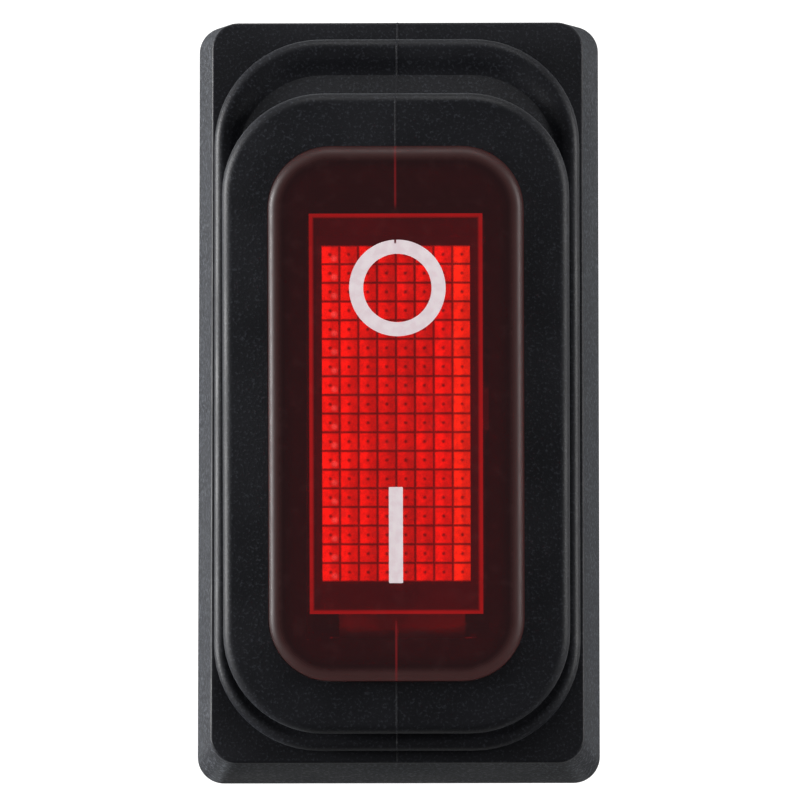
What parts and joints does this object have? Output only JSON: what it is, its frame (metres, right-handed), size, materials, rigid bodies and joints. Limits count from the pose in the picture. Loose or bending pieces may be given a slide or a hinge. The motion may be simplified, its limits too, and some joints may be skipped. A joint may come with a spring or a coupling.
{
  "type": "illuminated panel rocker switch with sealed boot",
  "caption": "Narrow snap-in panel rocker switch, lit from inside, with a black moulded rubber boot and a clear red window; on and off by tilting.",
  "frame": {"origin": "centre of the panel cut-out, on the panel's face where the boot's sealing bead meets it", "axes": "+Z out of the panel towards the user, +Y to the off (O) end of the rocker, +X across the switch"},
  "size_m": [0.0198, 0.0376, 0.0346],
  "materials": {
    "nylon_black": "moulded glass-filled nylon, satin",
    "boot_rubber": "moulded rubber with a fine spark-eroded grain",
    "window_red": "clear dark red silicone, glossy",
    "rocker_red": "clear red polycarbonate, glossy, lit from inside",
    "nylon_white": "natural nylon",
    "lamp_glass": "clear glass",
    "resistor_tan": "dipped resin",
    "tinned_wire": "tinned",
    "copper_blade": "rolled copper alloy",
    "silver_contact": "silver alloy",
    "tinned_brass": "tin-plated brass strip, stamped",
    "spring_steel": "drawn spring wire"
  },
  "bodies": {
    "housing": {"housing": "nylon_black", "boot": "boot_rubber", "terminal_common": "tinned_brass", "terminal_load": "tinned_brass", "terminal_return": "tinned_brass", "fixed_contact": "silver_contact", "lamp_spring_load": "spring_steel", "lamp_spring_return": "spring_steel"},
    "rocker": {"rocker": "rocker_red", "boot_window": "window_red", "lamp_carrier": "nylon_white", "neon_lamp": "lamp_glass", "resistor": "resistor_tan", "lead_load": "tinned_wire", "lead_link": "tinned_wire", "lead_return": "tinned_wire", "plunger_spring": "spring_steel"},
    "plunger": {"plunger": "nylon_white"},
    "blade": {"contact_blade": "copper_blade", "moving_contact": "silver_contact"}
  },
  "joints": [
    {"name": "rocker_tilt", "type": "hinge", "parent": "housing", "child": "rocker", "pos_m": [0, 0, -0.0016], "axis": [1, 0, 0], "range_deg": [-18.4, 0], "deforming": ["boot", "lamp_spring_load", "lamp_spring_return"]},
    {"name": "blade_rock", "type": "hinge", "parent": "housing", "child": "blade", "pos_m": [0, 0, -0.00928], "axis": [1, 0, 0], "range_deg": [0, 14]},
    {"name": "plunger_slide", "type": "slide", "parent": "rocker", "child": "plunger", "axis": [0, -0.1599, 0.9871], "range_m": [0, 0.0012], "stiffness_N_per_m": 500, "springref_m": -0.003, "deforming": ["plunger_spring"]}
  ],
  "couplings": [
    {"joint": "blade_rock", "follows": "rocker_tilt", "ratio": -0.7608}
  ]
}
